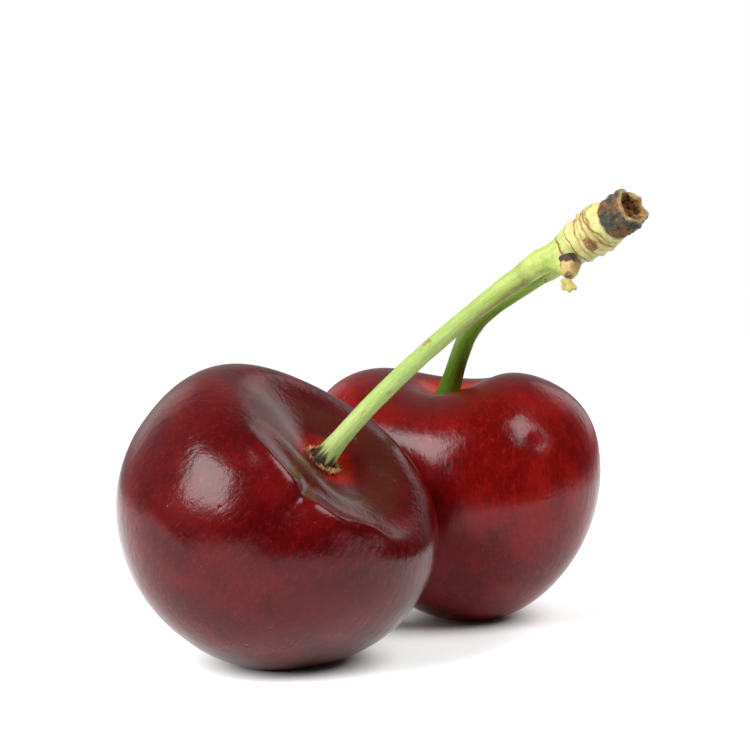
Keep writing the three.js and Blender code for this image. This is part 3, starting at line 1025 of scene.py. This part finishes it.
# %% [markdown]
# The bark end was torn from the branch: a stub of dark cracked bark, ridged round, with a pale
# ragged lip and a hollow where the wood came away. One closed skin runs up the outside, over the
# lip and down into the hollow. Its profile is a few points, softened by a moving average.

# %% Profile of the torn bark end
BARK_START = 7.3  # mm along the spur
BARK_SECTORS = 220
profile = [  # height above the start and radius, in mm: outside, lip, then inside
    (-0.02, 1.2),
    (0.0, 1.58),
    (0.3, 1.72),
    (0.7, 1.74),
    (0.95, 1.66),
    (1.25, 1.80),
    (1.65, 1.78),
    (2.0, 1.66),
    (2.4, 1.74),
    (2.8, 1.70),
    (3.05, 1.56),
    (3.1, 1.36),
    (2.95, 1.18),
    (2.6, 1.05),
    (2.2, 0.95),
    (1.9, 0.78),
    (1.8, 0.4),
]
BARK_ROWS, SOFTENED_OVER = 300, 19
corner_share = np.linspace(0, 1, len(profile))
fine_share = np.linspace(0, 1, BARK_ROWS)
kernel = np.hanning(SOFTENED_OVER) / np.hanning(SOFTENED_OVER).sum()


def softened(corners):
    fine = np.interp(fine_share, corner_share, corners)
    return np.convolve(np.pad(fine, SOFTENED_OVER // 2, mode="edge"), kernel, "valid")


U, A = grid_round(softened([height for height, _ in profile]), BARK_SECTORS)
R = np.repeat(softened([radius for _, radius in profile])[:, None], BARK_SECTORS, 1)
T = np.repeat(fine_share[:, None], BARK_SECTORS, 1)
print("bark profile, mm:", U.max().round(2), "tall and", R.max().round(2), "in radius")

# %% [markdown]
# Lumps, chips and uneven ridges then roughen the smooth turned shape. On the grids, U is height, R
# is radius, A is the angle round, and T is the share of the way from the outside to the hollow.

# %% The torn bark end
solid = np.stack([R * np.cos(A), R * np.sin(A), U], -1)
lumps = value_noise(solid, 1.3, 21, octaves=3)
chips = 1 - np.abs(value_noise(solid, 0.7, 22, octaves=4))
ring_ridges = np.sin(U * 6.2 + wander(A, 25, 0.9) + 1.6 * lumps)
lip = bell(T - 0.66, 0.1)
flap = 0.8 * bell(apart(A, top_angle + 0.3), 0.45)
start_edge = (1 - smooth(T, 0, 0.3)) * (wander(A, 26, 0.16) - flap)
lip_edge = wander(A, 23, 0.16, turns=(2, 3, 5, 7, 11, 16)) + 0.07 * chips
U = U + start_edge + lip * lip_edge
R = R + (0.10 * lumps + 0.07 * (chips - 0.5) + 0.05 * ring_ridges) * smooth(R, 0.0, 0.8)
x, y = R * np.cos(A), R * np.sin(A)
rings = set_out(SPUR_BASE, (x, SPUR_STACK), (y, SPUR_SIDE), (U + BARK_START, SPUR_ALONG))
bark = make_skin("torn_bark", rings[0].mean(0), rings, rings[-1].mean(0))
remember(bark, "inside", smooth(T, 0.64, 0.78), (0.0, 1.0))
remember(bark, "lip", bell(T - 0.67, 0.07))
remember(bark, "ridge", smooth(ring_ridges, 0.35, 0.9))
remember_place(bark, np.stack([x, y, U], -1), ((0, 0, 0), (0, 0, profile[-1][0])))

# %% [markdown]
# The bark is two colours in broad patches, near black and rusty brown, with brown along its
# ridges. The lip and the hollow show torn wood, which is paler. The shape's own attributes say
# where each begins, so the colours keep to the lumps that they belong to.

# %% Bark finish
LIP_COLOUR = (0.34, 0.21, 0.08)
finish = Finish("dark_bark")
own = finish.attribute("own_place", output=1)
hollow = finish.attribute("inside")
rim = finish.attribute("lip")
patches = finish.noise(own, 0.42, detail=4, roughness=0.55)
grain = finish.noise(finish.stretched(own, (1, 1, 0.5)), 2.4, detail=6, roughness=0.7)
cracks = finish.cells(own, 1.3)
dark = finish.blend((0.012, 0.015, 0.009), (0.040, 0.042, 0.026), grain.step(0.35, 0.65))
brown = finish.blend((0.045, 0.020, 0.007), (0.17, 0.075, 0.018), grain.step(0.35, 0.65))
ridge = finish.attribute("ridge")
browner = (patches.step(0.47, 0.55) + ridge * grain * 0.35).clamped()
colour = finish.blend(dark, brown, browner)
colour = finish.blend(colour, LIP_COLOUR, (rim * (grain + 0.35)).clamped())
torn_wood = finish.blend((0.07, 0.03, 0.008), (0.33, 0.17, 0.04), grain.step(0.38, 0.64))
colour = finish.blend(colour, torn_wood, hollow)
relief = grain * 0.2 + cracks * 0.08
bark.data.materials.append(
    finish.set(Base_Color=colour, Roughness=0.7 + grain * 0.2, Normal=finish.bumped(relief))
)
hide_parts("bark_cap")
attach(bark, "root")

# %% [markdown]
# A side bud that never opened sits low on the spur. It is a blunt dome of dry scales with a torn,
# dark upper edge, where it broke away a little. It could be modelled scale by scale, but at this
# size three steps in a turned shape read as scales, so it is turned from a profile and ruffled.

# %% Side bud
BUD_PLACE = np.array((4.196, -13.370, 34.764)) - bud_way * 0.55


def frame_along(way, hint):
    """Two directions square to a way, the first as near as it can be to a hint."""
    one = hint - way * (hint @ way)
    one /= np.linalg.norm(one)
    return one, np.cross(way, one)


bud_up, bud_across = frame_along(bud_way, np.array((0, 0, 1.0)))
BUD_ROWS, BUD_SECTORS = 110, 120
T, A = grid_round(np.linspace(0.02, 0.98, BUD_ROWS), BUD_SECTORS)
BUD_TALL, BUD_RADIUS, TORN_EDGE = 1.85, 1.08, 0.26
reach = BUD_TALL * smooth(T, 0, 0.85)
radius = BUD_RADIUS * np.sin(T * np.pi) ** 0.42 * (1.05 - 0.32 * T)
broad, fine = wander(A, 31, 0.1, turns=(1, 2, 3, 4, 5)), wander(A, 36, 0.025, turns=(9, 14, 21))
radius = radius * (1 + broad + fine)
solid = np.stack([radius * np.cos(A), radius * np.sin(A), reach], -1)
wrinkles = np.sin(radius * 13 + 1.5 * value_noise(solid, 1.2, 37)) * smooth(T, 0.55, 0.7)
reach = reach + 0.05 * wrinkles + 0.1 * value_noise(solid, 1.1, 38)
for place, seed in ((0.3, 32), (0.42, 33), (0.55, 34)):
    edge = place + wander(A, seed, 0.03, turns=(1, 2, 3, 5))
    radius = radius * (1 - 0.07 * smooth(T - edge, -0.01, 0.01))
torn = 1 + wander(A, 44, 0.35, turns=(3, 5, 8, 13, 21))
above = np.cos(A - 0.35)
radius = radius + TORN_EDGE * bell(T - 0.2, 0.045) * smooth(above, -0.1, 0.5) * torn
x, y = radius * np.cos(A), radius * np.sin(A)
rings = set_out(BUD_PLACE, (x, bud_up), (y, bud_across), (reach, bud_way))
bud = make_skin("closed_bud", BUD_PLACE, rings, rings[-1].mean(0))
upper_edge = smooth(above, 0.2, 0.8) * smooth(0.5 - T + wander(A, 39, 0.06), 0, 0.08)
remember(bud, "above", upper_edge, (1.0, 0.0))

# %% [markdown]
# Under the bud hangs one torn scale, a thin leaf no longer than two millimetres. It is a flattened
# egg whose outline is made ragged by lumps and whose middle is bent twice, so it never lies flat.

# %% Hanging scale
SCALE_PLACE = np.array((3.1, -13.8, 33.1))
SCALE_HALF_LENGTH, SCALE_HALF_WIDTH = 0.56, 0.62
scale_down = -np.array((0.1, 0.1, 0.99))
scale_across = np.array(right)
scale_out = np.cross(scale_down, scale_across)
SCALE_ROWS, SCALE_SECTORS = 70, 96
T, A = grid_round(np.linspace(0.02, 0.98, SCALE_ROWS), SCALE_SECTORS)
down = -SCALE_HALF_LENGTH * np.cos(T * np.pi)
solid = np.stack([down, np.ones_like(down), np.sin(A)], -1)
ragged = 1 + wander(A, 41, 0.12) + 0.22 * value_noise(solid, 0.6, 43)
wide = SCALE_HALF_WIDTH * np.sin(T * np.pi) ** 0.6 * ragged * (0.75 + 0.35 * T)
x = wide * np.cos(A) + 0.16 * np.sin(down * 2.6 + 0.6)
y = wide * np.sin(A) * 0.4 + 0.12 * np.sin(down * 3.1) + 0.14 * x**2
down = down + 0.12 * np.sin(x * 9) * smooth(down, 0, 0.7)
rings = set_out(SCALE_PLACE, (x, scale_across), (y, scale_out), (down, scale_down))
hanging_scale = make_skin("hanging_scale", rings[0].mean(0), rings, rings[-1].mean(0))

# %% [markdown]
# Bud and scale share one dry, fibrous finish in different colours. Neither follows a curve, so
# their own Object coordinates are enough. These are in metres, hence the large noise scales.

# %% Bud and scale finish
for piece, slot, node, pale, deep in (
    (bud, "brown_bud", "side_bud", (0.42, 0.29, 0.10), (0.20, 0.11, 0.03)),
    (hanging_scale, "dry_scale", "bud_scale", (0.34, 0.3, 0.07), (0.2, 0.13, 0.025)),
):
    finish = Finish(slot)
    place = finish.node("ShaderNodeTexCoord", output=3)
    fibres = finish.noise(finish.stretched(place, (1, 1, 0.5)), 2400, detail=5, roughness=0.65)
    patches = finish.noise(place, 900, detail=3)
    colour = finish.blend(deep, pale, (fibres * 0.6 + patches * 0.6 - 0.1).step(0.3, 0.62))
    if piece is bud:
        above = finish.attribute("above")
        colour = finish.blend(colour, (0.03, 0.015, 0.006), (above * (fibres + 0.5)).clamped())
    normal = finish.bumped(fibres * 0.12)
    piece.data.materials.append(finish.set(Base_Color=colour, Roughness=0.7, Normal=normal))
    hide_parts(node)
    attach(piece, "root")

# %% [markdown]
# The collar is what the flower left behind: a ring of dry torn flakes round the stalk's foot. One
# flake is made, and Geometry Nodes sets it round the ring at uneven sizes and tilts, which
# would take long to place one by one.

# %% A tree that sets flakes in a ring
LARGE_AXIS = np.array((0.13942, -0.61368, 0.77715))
LARGE_PIT = np.array((-10.859, 2.090, 17.717))
COLLAR_LIFT = 0.45  # mm above the bottom of the pit


def collar_tree(material, flake):
    tree = Growth("collar", Radius=1.5, Count=78, Size=0.58, Seed=3)
    sizes = tree.sizes
    inputs = {"Resolution": sizes["Count"], "Radius": sizes["Radius"] * MM}
    ring = tree.node("GeometryNodeCurvePrimitiveCircle", {"mode": "RADIUS"}, inputs)
    points = tree.node("GeometryNodeCurveToPoints", {"mode": "EVALUATED"}, {"Curve": ring})
    turn = tree.node("GeometryNodeCurveToPoints", {"mode": "EVALUATED"}, {"Curve": ring}, 3)
    inputs = {"Min": (-0.8, -1.1, -0.9), "Max": (1.1, 0.9, 0.9), "Seed": sizes["Seed"]}
    tilt = tree.node("FunctionNodeRandomValue", {"data_type": "FLOAT_VECTOR"}, inputs)
    inputs = {"Rotation": turn, "Rotate By": tilt}
    turned = tree.node("FunctionNodeRotateRotation", {"rotation_space": "LOCAL"}, inputs)
    inputs = {"Min": (0.5, 0.5, 0.3), "Max": (1.2, 1.4, 1.1), "Seed": sizes["Seed"]}
    spread = tree.node("FunctionNodeRandomValue", {"data_type": "FLOAT_VECTOR"}, inputs)
    settings = {"operation": "SCALE"}
    scaled = tree.node("ShaderNodeVectorMath", settings, {0: spread, "Scale": sizes["Size"]})
    source = tree.node("GeometryNodeObjectInfo", {}, {"Object": flake}, 4)
    inputs = {"Points": points, "Instance": source, "Rotation": turned, "Scale": scaled}
    flakes = tree.node("GeometryNodeInstanceOnPoints", {}, inputs)
    tree.end(flakes, material)
    return tree


# %% [markdown]
# One flake is a pointed scrap, thick at its foot and curling over at its tip. It has only a few
# dozen faces, because it is repeated many times. The finish is mottled brown, read in the collar's
# own Object coordinates, so no two flakes look alike.

# %% One flake and the collar's finish
FLAKE_TALL, FLAKE_HALF_WIDTH, FLAKE_HALF_THICKNESS, FLAKE_CURL = 0.9, 0.42, 0.14, 0.35
T, A = grid_round(np.linspace(0.06, 0.94, 7), 8)
x = FLAKE_HALF_WIDTH * np.cos(A) * (1 - T) ** 0.6
y = FLAKE_HALF_THICKNESS * np.sin(A) * (1 - T) + FLAKE_CURL * T**2
rings = np.stack([x, y, FLAKE_TALL * T], -1)
one_flake = make_skin("one_flake", (0, 0, 0), rings, (0, FLAKE_CURL, FLAKE_TALL))

finish = Finish("brown_collar")
place = finish.node("ShaderNodeTexCoord", output=3)
fibres = finish.noise(place, 2600, detail=5, roughness=0.7)
patches = finish.noise(place, 700, detail=3)
colour = finish.blend((0.06, 0.026, 0.009), (0.34, 0.17, 0.055), patches.step(0.3, 0.56))
colour = finish.blend(colour, (0.3, 0.19, 0.09), fibres.step(0.55, 0.75) * 0.6)
normal = finish.bumped(fibres * 0.1)
collar_brown = finish.set(Base_Color=colour, Roughness=0.7, Normal=normal)

# %% [markdown]
# The tree grows its ring flat at the origin. Its points are then turned on to the stalk's axis and
# moved to the bottom of the pit, in the mesh itself, so the object stays unturned at the origin.

# %% The ragged collar
ring_source = add_object("collar_source", bpy.data.meshes.new("collar_source"))
collar = collar_tree(collar_brown, one_flake).grow("torn_collar", ring_source)
bpy.data.objects.remove(one_flake)
ring_x, ring_y = frame_along(LARGE_AXIS, np.array(right))
turn = np.stack([ring_x, ring_y, LARGE_AXIS])
spots = np.zeros(len(collar.data.vertices) * 3)
collar.data.vertices.foreach_get("co", spots)
spots = spots.reshape(-1, 3) @ turn + (LARGE_PIT + LARGE_AXIS * COLLAR_LIFT) * MM
collar.data.vertices.foreach_set("co", spots.ravel())
collar.data.update()
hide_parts("large_cherry_collar")
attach(collar, "root")

# %% [markdown]
# The fruit stands on a plain pale sheet that fades into the white behind it. It could be a curved
# backdrop, but a flat sheet that turns transparent with distance leaves no line at the horizon.

# %% Floor
FLOOR_SIZE = 3200 * MM
FRONT_EDGE = 62 * MM  # from the middle of the fruit to the near edge of the sheet
FADE_START, FADE_END = 60 * MM, 230 * MM  # how far behind the middle the sheet fades away
ground = Vector((toward.x, toward.y, 0)).normalized()
centre = ground * (FRONT_EDGE - FLOOR_SIZE / 2)
half = FLOOR_SIZE / 2
corners = [
    tuple(centre + right * (half * across) + ground * (half * near))
    for across, near in ((-1, -1), (1, -1), (1, 1), (-1, 1))
]
floor = make_mesh("floor", np.array(corners), [(3, 2, 1, 0)], outward=True)
if floor.data.polygons[0].normal.z < 0:
    floor.data.flip_normals()
paper = Finish("floor_paper")
place = paper.node("ShaderNodeTexCoord", output=3)
backwards = {0: place, 1: -ground}
behind = paper.node("ShaderNodeVectorMath", {"operation": "DOT_PRODUCT"}, backwards, 1)
fading = 1 - behind.step(FADE_START, FADE_END)
paper.fixed("Specular IOR Level", 0.0)
paper_white = paper.set(Base_Color=(0.88, 0.88, 0.88), Roughness=0.6, Alpha=fading)
floor.data.materials.append(paper_white)

# %% [markdown]
# One large soft box at the upper left gives the broad highlight on each fruit, and a weaker one
# fills the right. Two faint ones behind draw the rims, as a photographer's strip lights would.

# %% Lights
LIGHT_DISTANCE = 0.55


def soft_box(name, direction, width, height, power):
    light = bpy.data.lights.new(name, "AREA")
    light.shape = "RECTANGLE"
    light.size, light.size_y = width, height
    light.energy = power
    made = add_object(name, light)
    made.location = AIM + direction * LIGHT_DISTANCE
    made.rotation_euler = (-direction).to_track_quat("-Z", "Y").to_euler()
    print(name, power, "W")


soft_box("key_light", seen_from(-0.64, 0.46, 0.62), 0.38, 0.40, 7.1)
soft_box("rim_light", seen_from(0.60, 0.70, 0.40), 0.36, 0.34, 4.0)
soft_box("back_light_right", seen_from(0.52, 0.40, -0.76), 0.20, 0.30, 0.22)
soft_box("back_light_left", seen_from(-0.48, 0.45, -0.75), 0.20, 0.30, 0.12)

# %% [markdown]
# The room is white behind and dark in front, which leaves the middle of a glossy fruit deep red
# while its edges turn milky. A world shader can treat each kind of ray in its own way: the camera
# sees plain white, and reflections see a dimmer room than the one that gives the light.


# %% Surroundings
class Surroundings(Graph):
    """The world's own node tree, emptied."""

    def __init__(self, world):
        world.use_nodes = True
        self.tree = world.node_tree
        self.tree.nodes.clear()


MIRRORED_ROOM = 0.44  # how bright the room looks in a reflection, against how much light it gives
BRIGHT_BEHIND, DARK_IN_FRONT = 0.9, 0.06
world = bpy.data.worlds.new("studio")
bpy.context.scene.world = world
room = Surroundings(world)
inputs = {0: room.node("ShaderNodeTexCoord"), 1: tuple(ground * 0.8 + right * 0.6)}
towards_front_right = room.node("ShaderNodeVectorMath", {"operation": "DOT_PRODUCT"}, inputs, 1)
span = {
    "Value": towards_front_right,
    "From Min": -0.95,
    "From Max": 0.35,
    "To Min": BRIGHT_BEHIND,
    "To Max": DARK_IN_FRONT,
}
shade = room.node("ShaderNodeMapRange", {"interpolation_type": "SMOOTHSTEP"}, span)
for_camera = room.node("ShaderNodeLightPath", output="Is Camera Ray")
for_mirror = room.node("ShaderNodeLightPath", output="Is Glossy Ray")
strength = (shade + for_camera * (1 - shade)) * (1 - for_mirror * (1 - MIRRORED_ROOM))
background = room.node("ShaderNodeBackground", {}, {"Color": (1, 1, 1), "Strength": strength})
room.node("ShaderNodeOutputWorld", {}, {"Surface": background}, None)
print("surroundings:", len(room.tree.nodes), "nodes")
